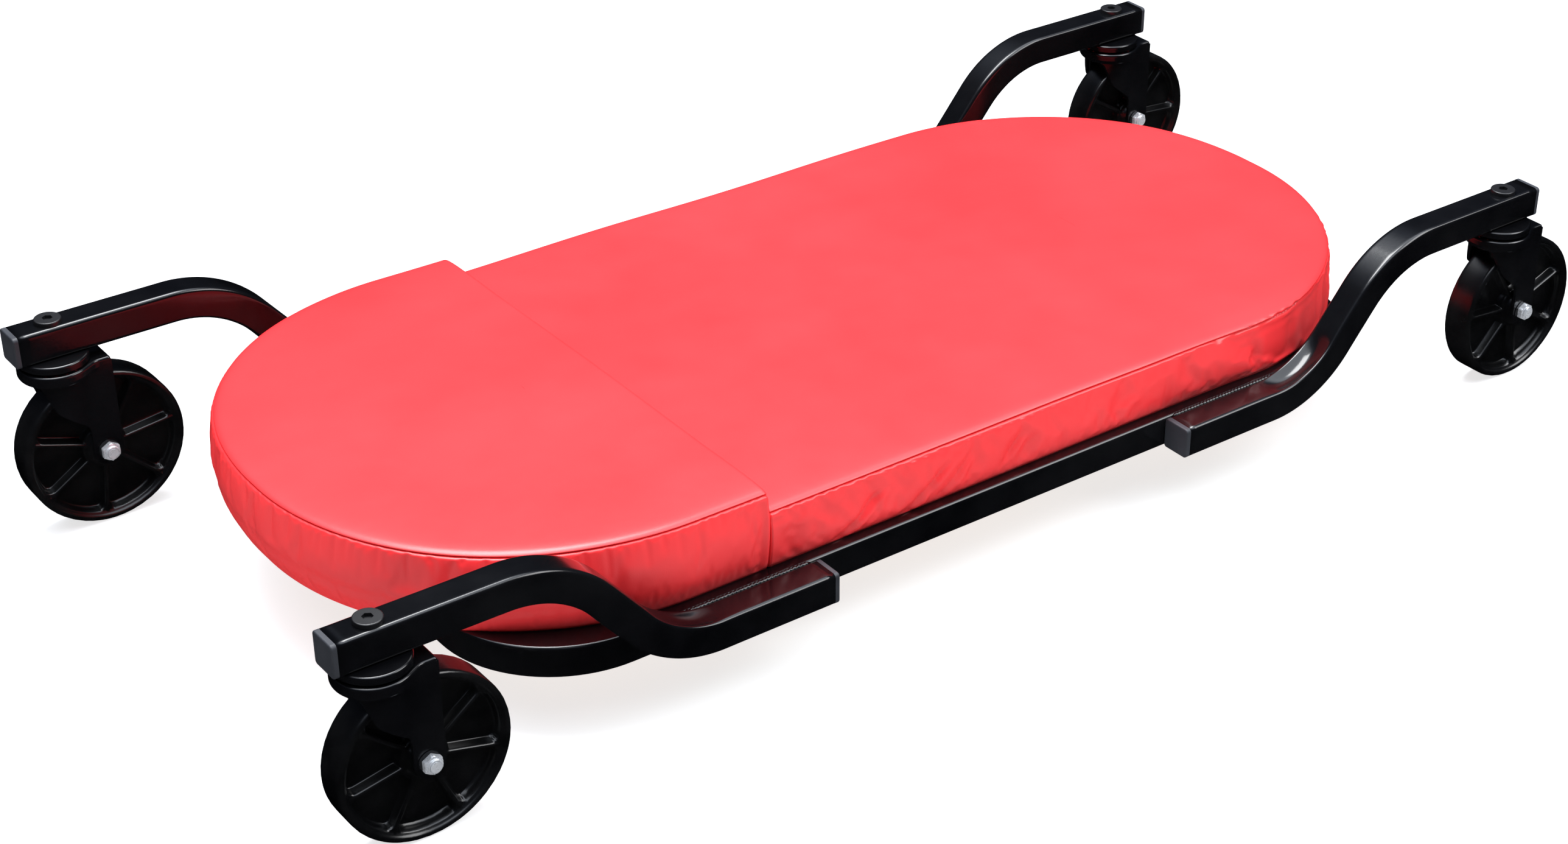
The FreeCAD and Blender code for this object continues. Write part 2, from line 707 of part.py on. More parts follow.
def make_axle(caster):
    """Axle bolt with washer and nut, and the sleeve it clamps between the legs."""
    sleeve = caster_body("axle_sleeve", caster)
    tube = new_sketch(sleeve, "section", "XZ_Plane")
    circle(tube, "0", "0", "sleeve_radius")
    circle(tube, "0", "0", "axle_radius")
    pad(sleeve, "tube", tube, "leg_gap", both=True)
    stand_at(sleeve, caster, "trail", "wheel_radius")

    bolt = caster_body("axle_bolt", caster)
    far = "boss_face + axle_nut_height + axle_tip"
    shank = new_sketch(bolt, "shank_outline", "XZ_Plane", far)
    circle(shank, "0", "0", "axle_radius")
    pad(bolt, "shank", shank, "boss_face + (%s)" % far, reversed_side=True)
    washer = new_sketch(bolt, "washer_outline", "XZ_Plane", "-boss_face")
    circle(washer, "0", "0", "washer_radius")
    pad(bolt, "washer", washer, "washer_thick", reversed_side=True)
    head = new_sketch(bolt, "head_outline", "XZ_Plane", "-boss_face")
    hexagon(head, "axle_flats")
    pad(bolt, "head", head, "axle_nut_height", reversed_side=True)
    stand_at(bolt, caster, "trail", "wheel_radius")

    nut = caster_body("axle_nut", caster)
    shape = new_sketch(nut, "outline", "XZ_Plane", "boss_face")
    hexagon(shape, "axle_flats")
    circle(shape, "0", "0", "axle_radius")
    pad(nut, "nut", shape, "nut_hex_height")
    collar = new_sketch(nut, "collar_outline", "XZ_Plane", "boss_face + nut_hex_height")
    circle(collar, "0", "0", "nut_collar_radius")
    circle(collar, "0", "0", "axle_radius")
    pad(nut, "collar", collar, "axle_nut_height - nut_hex_height")
    stand_at(nut, caster, "trail", "wheel_radius")


def make_wheel(caster):
    """Moulded wheel: rounded tread, thin web, and ribs from hub to rim on both faces."""
    body = caster_body("wheel", caster)
    profile = new_sketch(body, "profile", "YZ_Plane")
    outline(profile, [("-hub_half", "sleeve_radius + shaft_gap"),
                      ("hub_half", "sleeve_radius + shaft_gap"),
                      ("hub_half", "hub_radius - hub_bevel", "hub_round"),
                      ("rib_plane", "hub_radius"), ("rib_plane", "rim_inner + rim_step"),
                      ("wheel_half", "rim_inner + rim_bevel", "rim_round"),
                      ("wheel_half", "wheel_radius", "wheel_round"),
                      ("-wheel_half", "wheel_radius", "wheel_round"),
                      ("-wheel_half", "rim_inner + rim_bevel", "rim_round"),
                      ("-rib_plane", "rim_inner + rim_step"), ("-rib_plane", "hub_radius"),
                      ("-hub_half", "hub_radius - hub_bevel", "hub_round")])
    revolve(body, "disc", profile, "H_Axis")
    for side_name, side_sign in SIDES.items():
        window = new_sketch(body, "pocket_outline_" + side_name, "XZ_Plane",
                            "%d * rib_plane" % side_sign)
        pocket_outline(window)
        room = pocket(body, "pocket_" + side_name, window, "rib_plane - web_thick / 2",
                      reversed_side=side_sign < 0)
        polar(body, "pockets_" + side_name, room, "Y_Axis", "rib_count")
    stand_at(body, caster, "trail", "wheel_radius")
    half_step = 180 / number("rib_count")
    body.Placement = Placement(body.Placement.Base,
                               Rotation(Vector(0, 1, 0), half_step - RIB_ANGLE[caster]))


def pocket_outline(sketch):
    """One pocket between two neighbouring ribs, centred on the sketch's own +X."""
    half_step = "180 deg / rib_count"
    corners = []
    for radius, rounding in (("(hub_radius + pocket_start)", "pocket_inner_round"),
                             ("rim_inner", "pocket_outer_round")):
        along = "(%s * cos(%s) + rib_thick / 2 * sin(%s))" % (radius, half_step, half_step)
        aside = "(%s * sin(%s) - rib_thick / 2 * cos(%s))" % (radius, half_step, half_step)
        corners.append((along, aside, rounding))
    (near, near_up, near_round), (far, far_up, far_round) = corners
    arc = "rim_inner / cos(%s * 0.45)" % half_step
    arc_up = "rim_inner * sin(%s * 0.4)" % half_step
    outline(sketch, [(near, "-" + near_up, near_round), (far, "-" + far_up, far_round),
                     (arc, "-" + arc_up, "pocket_arc_round"), (arc, arc_up, "pocket_arc_round"),
                     (far, far_up, far_round), (near, near_up, near_round)])


for end_name in ENDS:
    make_frame_half(end_name)
    make_brace(end_name)
for end_name in ENDS:
    for side_name in SIDES:
        make_arm(end_name, side_name)
        make_plug("end_plug_%s_%s" % (end_name, side_name), end_name, side_name, True)
        make_plug("rail_plug_%s_%s" % (end_name, side_name), end_name, side_name, False)
make_deck()
for end_name in ENDS:
    for side_name in SIDES:
        caster = (end_name, side_name)
        make_kingpin(caster)
        make_race_cap(caster)
        make_balls(caster)
        make_fork(caster)
        make_axle(caster)
        make_wheel(caster)
doc.recompute()

faults = [item.Label for item in doc.Objects if "Invalid" in item.State or "Error" in item.State]
faults += [item.Label for item in pieces if item.Shape.isNull() or not item.Shape.isValid()]
if faults:
    raise RuntimeError("these did not build: " + ", ".join(faults))

os.makedirs("parts", exist_ok=True)
for piece in pieces:
    piece.Shape.exportStep("parts/%s.step" % piece.Label)
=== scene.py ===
import json
import math

import bpy
import bmesh
import numpy as np
from mathutils import Matrix, Vector


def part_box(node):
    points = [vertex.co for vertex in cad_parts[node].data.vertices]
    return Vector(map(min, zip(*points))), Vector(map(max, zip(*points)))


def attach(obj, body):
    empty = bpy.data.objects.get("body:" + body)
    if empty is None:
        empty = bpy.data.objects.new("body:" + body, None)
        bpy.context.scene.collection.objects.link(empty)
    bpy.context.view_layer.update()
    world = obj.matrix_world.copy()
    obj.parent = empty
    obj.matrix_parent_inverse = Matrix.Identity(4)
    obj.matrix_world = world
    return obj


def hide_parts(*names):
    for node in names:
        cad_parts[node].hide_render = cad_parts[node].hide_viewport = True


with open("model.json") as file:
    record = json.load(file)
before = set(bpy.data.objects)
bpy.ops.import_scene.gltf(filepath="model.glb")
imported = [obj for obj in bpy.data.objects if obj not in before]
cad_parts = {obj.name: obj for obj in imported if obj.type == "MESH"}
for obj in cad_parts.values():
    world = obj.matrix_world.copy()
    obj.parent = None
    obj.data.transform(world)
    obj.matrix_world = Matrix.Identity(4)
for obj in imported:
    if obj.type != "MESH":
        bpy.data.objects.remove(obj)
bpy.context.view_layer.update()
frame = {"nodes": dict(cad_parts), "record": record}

scene = bpy.context.scene
nodes = frame["nodes"]
ROOT = "deck_frame"


def lowest_highest(name):
    low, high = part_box(name)
    return Vector(low), Vector(high)


# ---------------------------------------------------------------- places read from the frame
body_low, body_high = lowest_highest("body_cover")
head_low, head_high = lowest_highest("head_cover")
DECK_X = (body_high.x + head_low.x) / 2
HALF_LENGTH = (body_high.x - head_low.x) / 2
HALF_WIDTH = body_high.y
SEAM_X = head_high.x
BODY_TOP = body_high.z
HEAD_TOP = head_high.z
HEM_Z = body_low.z
FRAME_X = (lowest_highest("frame_head_half")[0].x + lowest_highest("frame_foot_half")[1].x) / 2


# ---------------------------------------------------------------- materials
ORANGE_PEEL = 0.05
METAL_GRAIN = 90.0
VINYL_GRAIN = 1400


def new_material(name):
    material = bpy.data.materials.new(name)
    material.use_nodes = True
    tree = material.node_tree
    shader = tree.nodes["Principled BSDF"]
    return material, tree, shader


def add_node(tree, kind, **settings):
    node = tree.nodes.new(kind)
    for key, value in settings.items():
        setattr(node, key, value)
    return node


def coordinates(tree):
    return add_node(tree, "ShaderNodeTexCoord").outputs["Object"]


def noise_texture(tree, scale, detail=4.0, roughness=0.5, vector=None):
    texture = add_node(tree, "ShaderNodeTexNoise")
    texture.inputs["Scale"].default_value = scale
    texture.inputs["Detail"].default_value = detail
    texture.inputs["Roughness"].default_value = roughness
    tree.links.new(vector or coordinates(tree), texture.inputs["Vector"])
    return texture.outputs["Fac"]


def ramp(tree, value, stops):
    node = add_node(tree, "ShaderNodeValToRGB")
    elements = node.color_ramp.elements
    while len(elements) < len(stops):
        elements.new(0.5)
    for element, (position, colour) in zip(elements, stops):
        element.position = position
        element.color = (*colour, 1)
    tree.links.new(value, node.inputs["Fac"])
    return node.outputs["Color"]


def spread(tree, value, low, high):
    node = add_node(tree, "ShaderNodeMapRange")
    node.inputs["To Min"].default_value = low
    node.inputs["To Max"].default_value = high
    tree.links.new(value, node.inputs["Value"])
    return node.outputs["Result"]


def bump(tree, height, strength, distance, normal=None):
    node = add_node(tree, "ShaderNodeBump")
    node.inputs["Strength"].default_value = strength
    node.inputs["Distance"].default_value = distance
    tree.links.new(height, node.inputs["Height"])
    if normal is not None:
        tree.links.new(normal, node.inputs["Normal"])
    return node.outputs["Normal"]


def vinyl(name, deep, light):
    """Soft satin vinyl: fine pebbled grain and faint clouding."""
    material, tree, shader = new_material(name)
    where = coordinates(tree)
    cloud = noise_texture(tree, 6.0, 3.0, 0.5, where)
    colour = ramp(tree, cloud, [(0.3, deep), (0.7, light)])
    tree.links.new(colour, shader.inputs["Base Color"])
    grain = add_node(tree, "ShaderNodeTexVoronoi", feature="SMOOTH_F1")
    grain.inputs["Scale"].default_value = VINYL_GRAIN
    tree.links.new(where, grain.inputs["Vector"])
    soft = noise_texture(tree, 60.0, 4.0, 0.55, where)
    first = bump(tree, grain.outputs["Distance"], 0.12, 0.0004)
    second = bump(tree, soft, 0.10, 0.0012, first)
    tree.links.new(second, shader.inputs["Normal"])
    rough = spread(tree, noise_texture(tree, 25.0, 4.0, 0.6, where), 0.30, 0.38)
    tree.links.new(rough, shader.inputs["Roughness"])
    shader.inputs["Specular IOR Level"].default_value = 0.5
    return material


def powder_coat(name, colour, low, high):
    """Satin powder coat: orange peel and faint clouding of its colour and gloss."""
    material, tree, shader = new_material(name)
    where = coordinates(tree)
    tint = tuple(min(1.0, c * 1.5 + 0.004) for c in colour)
    base = ramp(tree, noise_texture(tree, 9.0, 5.0, 0.6, where), [(0.35, colour), (0.75, tint)])
    tree.links.new(base, shader.inputs["Base Color"])
    tree.links.new(spread(tree, noise_texture(tree, 40.0, 4.0, 0.6, where), low, high),
                   shader.inputs["Roughness"])
    tree.links.new(bump(tree, noise_texture(tree, 420.0, 2.0, 0.5, where), ORANGE_PEEL, 0.0004),
                   shader.inputs["Normal"])
    shader.inputs["Specular IOR Level"].default_value = 0.5
    return material


def metal(name, colour, low, high, shine=1.0):
    material, tree, shader = new_material(name)
    where = coordinates(tree)
    base = ramp(tree, noise_texture(tree, 120.0, 4.0, 0.6, where),
                [(0.3, tuple(c * 0.85 for c in colour)), (0.7, colour)])
    tree.links.new(base, shader.inputs["Base Color"])
    tree.links.new(spread(tree, noise_texture(tree, METAL_GRAIN * 4, 3.0, 0.6, where), low, high),
                   shader.inputs["Roughness"])
    tree.links.new(bump(tree, noise_texture(tree, METAL_GRAIN * 12, 2.0, 0.5, where), 0.12, 0.0002),
                   shader.inputs["Normal"])
    shader.inputs["Metallic"].default_value = shine
    return material


def moulded_plastic(name, colour, low, high, texture_scale=900.0, strength=0.15):
    material, tree, shader = new_material(name)
    where = coordinates(tree)
    tint = tuple(min(1.0, c * 1.35 + 0.003) for c in colour)
    base = ramp(tree, noise_texture(tree, 30.0, 4.0, 0.6, where), [(0.35, colour), (0.7, tint)])
    tree.links.new(base, shader.inputs["Base Color"])
    tree.links.new(spread(tree, noise_texture(tree, 55.0, 4.0, 0.6, where), low, high),
                   shader.inputs["Roughness"])
    tree.links.new(bump(tree, noise_texture(tree, texture_scale, 2.0, 0.6, where),
                        strength, 0.0003), shader.inputs["Normal"])
    shader.inputs["Specular IOR Level"].default_value = 0.5
    return material


def plywood(name):
    """Rotary-cut face veneer: long grain along the deck with darker figure."""
    material, tree, shader = new_material(name)
    where = coordinates(tree)
    stretch = add_node(tree, "ShaderNodeMapping")
    stretch.inputs["Scale"].default_value = (3.0, 40.0, 40.0)
    tree.links.new(where, stretch.inputs["Vector"])
    figure = noise_texture(tree, 1.6, 8.0, 0.62, stretch.outputs["Vector"])
    colour = ramp(tree, figure, [(0.25, (0.30, 0.17, 0.08)), (0.5, (0.56, 0.38, 0.21)),
                                 (0.8, (0.68, 0.50, 0.31))])
    tree.links.new(colour, shader.inputs["Base Color"])
    tree.links.new(spread(tree, figure, 0.55, 0.8), shader.inputs["Roughness"])
    tree.links.new(bump(tree, figure, 0.25, 0.0006), shader.inputs["Normal"])
    return material


VINYL = vinyl("red_vinyl", (0.84, 0.028, 0.032), (0.88, 0.036, 0.041))
# Stitch thread in pale pink, lighter than the vinyl: partly the thread's own colour, partly a painted
# highlight along the seam line.
THREAD_WITH_HIGHLIGHT = moulded_plastic("thread_with_highlight", (0.80, 0.16, 0.18), 0.45, 0.6, 2500.0, 0.3)
BLACK = powder_coat("black_powder_coat", (0.0012, 0.0013, 0.0018), 0.12, 0.19)
PLUG = moulded_plastic("plug_plastic", (0.020, 0.022, 0.028), 0.48, 0.62)
WHEEL = moulded_plastic("wheel_plastic", (0.0015, 0.0016, 0.0019), 0.20, 0.30, 500.0, 0.08)
ZINC = metal("zinc_plate", (0.80, 0.82, 0.85), 0.22, 0.34, shine=0.55)
BLACK_STEEL = powder_coat("black_oxide", (0.004, 0.004, 0.005), 0.32, 0.44)
BALL = metal("ball_steel", (0.78, 0.78, 0.80), 0.08, 0.14)
BOARD = plywood("board_face")

BY_SLOT = {"powder_black": BLACK, "plug_plastic": PLUG, "plywood": BOARD, "red_vinyl": VINYL,
           "zinc_steel": ZINC, "black_bolt": BLACK_STEEL, "ball_steel": BALL,
           "wheel_plastic": WHEEL, "foam": VINYL}

for part in frame["record"]["subparts"]:
    piece = nodes[part["node"]]
    for material_slot in piece.material_slots:
        material_slot.material = BY_SLOT[part["material_slot"]]


# ---------------------------------------------------------------- mesh helpers
def mesh_object(name, points, faces, material):
    mesh = bpy.data.meshes.new(name)
    mesh.from_pydata([tuple(p) for p in points], [], faces)
    mesh.update()
    mesh.materials.append(material)
    piece = bpy.data.objects.new(name, mesh)
    scene.collection.objects.link(piece)
    mesh.polygons.foreach_set("use_smooth", [True] * len(mesh.polygons))
    return piece


def outward(piece):
    """Make every face of a closed mesh look outward."""
    work = bmesh.new()
    work.from_mesh(piece.data)
    bmesh.ops.remove_doubles(work, verts=work.verts, dist=1e-6)
    bmesh.ops.recalc_face_normals(work, faces=work.faces)
    work.to_mesh(piece.data)
    work.free()


def bell(value, middle, width):
    return math.exp(-((value - middle) / width) ** 2)


# ---------------------------------------------------------------- deck cushions
CORNER = 0.214
ROLL = [  # (inset from the widest line, drop below the top) over the sewn edge
    (0.0600, 0.0000), (0.0440, 0.0000), (0.0300, 0.0001), (0.0200, 0.0002), (0.0130, 0.0003),
    (0.0090, 0.0005), (0.0062, 0.0008), (0.0043, 0.0013), (0.0030, 0.0020), (0.0022, 0.0028),
    (0.0044, 0.0035), (0.0016, 0.0042), (0.0006, 0.0051), (0.0001, 0.0070), (0.0000, 0.0105)]
SEAM_ROW = 10           # the row of ROLL that lies in the sewn groove
HEM_STAND_OUT = 0.0042  # how far the hem stands out over the frame's corners at the foot end
FOOT_SINK = 0.0032      # how far the near edge has sunk by the foot end
HEAD_SPREAD = 0.0030    # how far the sewn edge stands out round the head end
HEAD_BELLY = 0.0030     # how far the boxing swells there
SIDE_BULGE = 0.0012
SIDE_TUCK = 0.0022
HEM_ROWS = [  # (inset, height over the hem) round the hem and in under the board
    (0.0024, 0.0016), (0.0032, 0.0004), (0.0044, 0.0), (0.0160, 0.0), (0.0225, 0.0), (0.0275, 0.0),
    (0.0290, 0.0010), (0.0300, 0.0040), (0.0500, 0.0060)]
LID = [  # shares of the way in from ROLL's first row to the middle line
    1.0, 0.92, 0.82, 0.70, 0.58, 0.46, 0.34, 0.22, 0.11]
END_ROUND = {1: 0.0016, -1: 0.0035}   # how softly each cushion turns down at the seam wall

NEAR_SLACK = 0.0016
NEAR_SWELL = 0.0010
FAR_WAVE = 0.0016
FAR_SPREAD = 0.0025
BAND_DEPTH = 0.0011      # of the level crease round the head end
PUFF_FRAMES = 20
PUFF_MOST = 0.0024       # the furthest the cloth may move any point

# Slack folds in the boxing of the near side: where each leaves the hem, how far it leans
# along the deck for each metre of rise, its half width, its depth, and where it fades.
FOLDS = [(-0.168, 1.25, 0.0045, 0.0026, 0.000, 0.036), (-0.106, 1.10, 0.0040, 0.0024, 0.000, 0.038),
         (-0.079, 0.95, 0.0036, 0.0020, 0.004, 0.038), (-0.026, 0.85, 0.0034, 0.0020, 0.010, 0.038),
         (-0.008, 0.80, 0.0050, 0.0013, 0.004, 0.030), (0.092, 0.30, 0.0050, 0.0009, 0.010, 0.044),
         (0.112, 0.30, 0.0045, 0.0007, 0.010, 0.044), (0.243, -0.10, 0.0050, 0.0018, 0.006, 0.038),
         (0.284, 0.12, 0.0055, 0.0018, 0.006, 0.040), (0.330, 0.25, 0.0050, 0.0008, 0.012, 0.044),
         (-0.236, 0.08, 0.0028, 0.0010, 0.000, 0.060), (-0.352, 0.10, 0.0040, 0.0009, 0.006, 0.055),
         (-0.372, 0.05, 0.0036, 0.0008, 0.004, 0.052)]


def edge_path(toward, start_x, steps):
    """Points and outward normals round one end of the deck, from near side to far side."""
    flat = HALF_LENGTH - CORNER
    side = HALF_WIDTH - CORNER
    straight = abs(flat - start_x * toward)
    quarter = CORNER * math.pi / 2
    total = 2 * straight + 2 * quarter + 2 * side
    points = []
    for step in range(steps + 1):
        s = total * step / steps
        if s <= straight:
            x, y, nx, ny = start_x + toward * s, -HALF_WIDTH, 0, -1
        elif s <= straight + quarter:
            a = (s - straight) / CORNER
            x = toward * (flat + CORNER * math.sin(a))
            y = -side - CORNER * math.cos(a)
            nx, ny = toward * math.sin(a), -math.cos(a)
        elif s <= straight + quarter + 2 * side:
            x, y = toward * HALF_LENGTH, s - straight - quarter - side
            nx, ny = toward, 0
        elif s <= total - straight:
            a = (s - straight - quarter - 2 * side) / CORNER
            x = toward * (flat + CORNER * math.cos(a))
            y = side + CORNER * math.sin(a)
            nx, ny = toward * math.cos(a), math.sin(a)
        else:
            x, y, nx, ny = toward * (flat - (s - total + straight)), HALF_WIDTH, 0, 1
        points.append((x, y, nx, ny))
    return points


def side_rows(top):
    """Rest of the side below the sewn edge, the tuck under the board and the hem."""
    height = top - HEM_Z
    rows = []
    for part in (0.30, 0.38, 0.46, 0.54, 0.62, 0.70, 0.78, 0.86, 0.92):
        bulge = SIDE_BULGE * math.sin(math.pi * part)
        tuck = SIDE_TUCK * max(0.0, part - 0.45) ** 1.6 / 0.55 ** 1.6
        rows.append((tuck - bulge, height * part))
    return rows + [(inset, height - over) for inset, over in HEM_ROWS]


def smooth_step(value, low, high):
    share = min(1.0, max(0.0, (value - low) / (high - low)))
    return share * share * (3 - 2 * share)


def slack_in(x, y):
    """How far the sewn edge stands in from its line (less than nothing where it stands out)."""
    if y < 0:
        slack = NEAR_SLACK * bell(x, 0.262, 0.060) - NEAR_SWELL * bell(x, 0.150, 0.050)
    else:
        slack = FAR_WAVE * math.sin(x * 21.0) * bell(x, 0.02, 0.26) - FAR_SPREAD
        slack *= smooth_step(y, 0.02, 0.12)
    return slack - HEAD_SPREAD * smooth_step(-x, 0.30, 0.44)


def sink(x, y):
    """How far the sewn edge has sunk: by the foot end of the near side, and in a faint ripple."""
    near = FOOT_SINK * bell(x, 0.285, 0.080) if y < 0 else 0.0
    return near + 0.0006 * math.sin(9.0 * x + 14.0 * y)


def stand_out(x, y, share):
    """How far the cover stands out near the hem, over the frame's corners at the foot end."""
    along = smooth_step(x, 0.24, 0.30) * bell(abs(y), 0.190, 0.045)
    return HEM_STAND_OUT * along * smooth_step(share, 0.3, 0.9)


def cushion_column(x, y, nx, ny, toward, top, rows):
    """One cut through a cushion, from its middle line out over the edge and under the hem."""
    low, high = sorted((SEAM_X - DECK_X + toward * END_ROUND[toward],
                        toward * (HALF_LENGTH - CORNER)))
    spine = Vector((min(max(x, low), high), 0.0))
    slack = slack_in(x, y)
    fall = sink(x, y)
    first = Vector((x - nx * ROLL[0][0], y - ny * ROLL[0][0]))
    height = top - HEM_Z
    column = []
    for share in LID:
        flat = first.lerp(spine, share)
        column.append((flat.x, flat.y, top + 0.0012 * smooth_step(share, 0.0, 1.0) - 0.0002))
    for inset, drop in rows:
        under = inset > 0.008 and drop > 0.02
        give = 0.4 if under else max(0.0, 1.0 - drop / height)
        belly = HEAD_BELLY * smooth_step(-x, 0.26, 0.40) * math.sin(math.pi * min(1.0, drop / height))
        over = 1.0 - smooth_step(inset, 0.0, 0.026)
        down = 0.0 if under else fall * over * max(0.0, 1.0 - drop / height)
        d = inset + slack * give - belly - stand_out(x, y, drop / height)
        column.append((x - nx * d, y - ny * d, top - drop - down))
    return column


def cushion_grid(toward, top, steps):
    rows = ROLL + side_rows(top)
    rounding = END_ROUND[toward]
    start_x = SEAM_X - DECK_X + toward * rounding
    grid = [cushion_column(*spot, toward, top, rows) for spot in edge_path(toward, start_x, steps)]
    for edge, at_start in ((grid[0], True), (grid[-1], False)):
        for turn in (22.5, 45.0, 67.5, 90.0):
            angle = math.radians(turn)
            inward = rounding * (1 - math.cos(angle))
            narrow = 1 - inward / HALF_WIDTH
            lower = 1 - inward / (top - HEM_Z)
            column = [(x - toward * rounding * math.sin(angle), y * narrow,
                       HEM_Z + (z - HEM_Z) * lower) for x, y, z in edge]
            if at_start:
                grid.insert(0, column)
            else:
                grid.append(column)
    return grid


def puff(piece, toward, top):
    """Fill the sewn cover with air for a moment: the side swells and buckles, held at the
    seam and the hem, while the foam keeps the top nearly flat."""
    group = piece.vertex_groups.new(name="held")
    start = [v.co.copy() for v in piece.data.vertices]
    height = top - HEM_Z
    for vertex in piece.data.vertices:
        drop = top - vertex.co.z
        hem = smooth_step(drop, height * 0.86, height * 0.97)
        seam = bell(drop, 0.0038, 0.0018) * 0.9
        lid = 1.0 - smooth_step(drop, 0.0040, 0.0060)
        wall = 1.0 - smooth_step(toward * (vertex.co.x - SEAM_X), 0.004, 0.014)
        group.add([vertex.index], min(1.0, max(hem, seam, lid, wall, 0.05)), "REPLACE")
    cloth = piece.modifiers.new("cloth", "CLOTH")
    settings = cloth.settings
    settings.quality = 6
    settings.mass = 0.25
    settings.tension_stiffness = 12
    settings.compression_stiffness = 12
    settings.shear_stiffness = 6
    settings.bending_stiffness = 0.25
    settings.vertex_group_mass = "held"
    settings.pin_stiffness = 1.0
    settings.shrink_min = -0.011
    settings.use_pressure = True
    settings.uniform_pressure_force = 4.0
    settings.effector_weights.gravity = 0.0
    cloth.collision_settings.use_collision = False
    cloth.collision_settings.use_self_collision = False
    cloth.point_cache.frame_start = 1
    cloth.point_cache.frame_end = PUFF_FRAMES
    for number in range(1, PUFF_FRAMES + 1):
        scene.frame_set(number)
    shaped = piece.evaluated_get(bpy.context.evaluated_depsgraph_get())
    swollen = [v.co.copy() for v in shaped.data.vertices]
    piece.modifiers.remove(cloth)
    scene.frame_set(1)
    for vertex, before, after in zip(piece.data.vertices, start, swollen):
        move = after - before
        if move.length > PUFF_MOST:
            move *= PUFF_MOST / move.length
        vertex.co = before + move
    piece.vertex_groups.clear()


def outward_at(x, y):
    """Outward direction of the deck's outline at a point of its side, in plan."""
    flat = HALF_LENGTH - CORNER
    side = HALF_WIDTH - CORNER
    away = Vector((x - DECK_X - min(flat, max(-flat, x - DECK_X)), y - min(side, max(-side, y))))
    return away.normalized() if away.length > 1e-6 else Vector((0.0, 0.0))


def crease(piece, top):
    """Press the slack folds into the side of a refined cushion."""
    height = top - HEM_Z
    for vertex in piece.data.vertices:
        x, y, z = vertex.co
        rise = z - HEM_Z
        out = outward_at(x, y)
        if rise < 0.001 or z > top - 0.0042 or out.length < 0.5:
            continue
        facing = smooth_step(-out.y, 0.35, 0.8)
        depth = 0.0
        for start, lean, wide, deep, low, high in FOLDS:
            across = (x - start - lean * rise) / wide
            if abs(across) > 5:
                continue
            along = smooth_step(rise, low - 0.004, low + 0.006)
            along *= 1.0 - smooth_step(rise, high - 0.014, high)
            depth += deep * along * (bell(across, 0, 1) - 0.5 * bell(across, 2.1, 1.3))
        band = bell(rise, 0.38 * height + 0.004 * math.sin(7 * y), 0.0040)
        depth = depth * facing + BAND_DEPTH * band * smooth_step(-out.x, 0.15, 0.7)
        vertex.co.x -= out.x * depth
        vertex.co.y -= out.y * depth


def add_stitches(name, line, gap=0.0036, long=0.0027, thick=0.00042):
    """Thread that shows along a seam: one short stitch after another, sunk in the groove."""
    lengths = [0.0]
    for before, after in zip(line, line[1:]):
        lengths.append(lengths[-1] + (after - before).length)
    points, faces = [], []
    segment = 1
    ring = 6
    for number in range(int(lengths[-1] / gap)):
        middle = (number + 0.5) * gap
        while lengths[segment] < middle:
            segment += 1
        run = line[segment] - line[segment - 1]
        share = (middle - lengths[segment - 1]) / run.length
        centre = line[segment - 1] + run * share
        along = run.normalized()
        side = along.cross(Vector((0, 0, 1))).normalized()
        over = side.cross(along)
        base = len(points)
        for place, size in ((-0.5, 0.25), (-0.38, 0.8), (0.0, 1.0), (0.38, 0.8), (0.5, 0.25)):
            for k in range(ring):
                turn = 2 * math.pi * k / ring
                points.append(centre + along * long * place
                              + (side * math.cos(turn) + over * math.sin(turn)) * thick * size)
        for row in range(4):
            for k in range(ring):
                a, b = base + row * ring + k, base + row * ring + (k + 1) % ring
                faces.append((a, b, b + ring, a + ring))
        faces.append(tuple(base + k for k in range(ring)))
        faces.append(tuple(base + 4 * ring + k for k in range(ring)))
    # The pale thread colour carries a painted highlight along the seam.
    piece = mesh_object(name, points, faces, THREAD_WITH_HIGHLIGHT)
    outward(piece)
    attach(piece, ROOT)


def skin(name, grid):
    """Closed mesh over a grid of columns; each point keeps its number in the grid."""
    wide, deep = grid.shape[:2]
    faces = []
    for i in range(wide - 1):
        for j in range(deep - 1):
            a = i * deep + j
            faces.append((a, a + deep, a + deep + 1, a + 1))
    near_wall = list(range(deep))
    far_wall = [(wide - 1) * deep + j for j in range(deep)]
    faces.append(tuple(near_wall + far_wall[::-1]))
    faces.append(tuple(i * deep + deep - 1 for i in range(wide)))
    piece = mesh_object(name, grid.reshape(-1, 3), faces, VINYL)
    number = piece.data.attributes.new("number", "INT", "POINT")
    number.data.foreach_set("value", np.arange(wide * deep, dtype=np.int32))
    outward(piece)
    return piece


def finer(grid):
    """Twice as many columns and rows, on smooth curves through the old ones."""
    for _ in range(2):
        padded = np.concatenate([grid[:1], grid, grid[-1:]])
        middle = (9 * (padded[1:-2] + padded[2:-1]) - padded[:-3] - padded[3:]) / 16
        result = np.empty((len(grid) * 2 - 1,) + grid.shape[1:])
        result[0::2] = grid
        result[1::2] = middle
        grid = result.swapaxes(0, 1)
    return grid


def make_cushion(name, toward, top, covers, steps):
    grid = np.array(cushion_grid(toward, top, steps))
    grid[:, :, 0] += DECK_X
    loose = skin("loose_cover", grid)
    number = np.empty(len(loose.data.vertices), dtype=np.int32)
    loose.data.attributes["number"].data.foreach_get("value", number)
    before = np.array([v.co[:] for v in loose.data.vertices])
    puff(loose, toward, top)
    after = np.array([v.co[:] for v in loose.data.vertices])
    grid.reshape(-1, 3)[number] += after - before
    bpy.data.objects.remove(loose)
    grid = finer(grid)
    piece = skin(name, grid)
    piece.data.attributes.remove(piece.data.attributes["number"])
    crease(piece, top)
    seam_index = 2 * (len(LID) + SEAM_ROW)
    add_stitches(name + "_stitches", [Vector(spot) for spot in grid[:, seam_index]])
    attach(piece, ROOT)
    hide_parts(*covers)


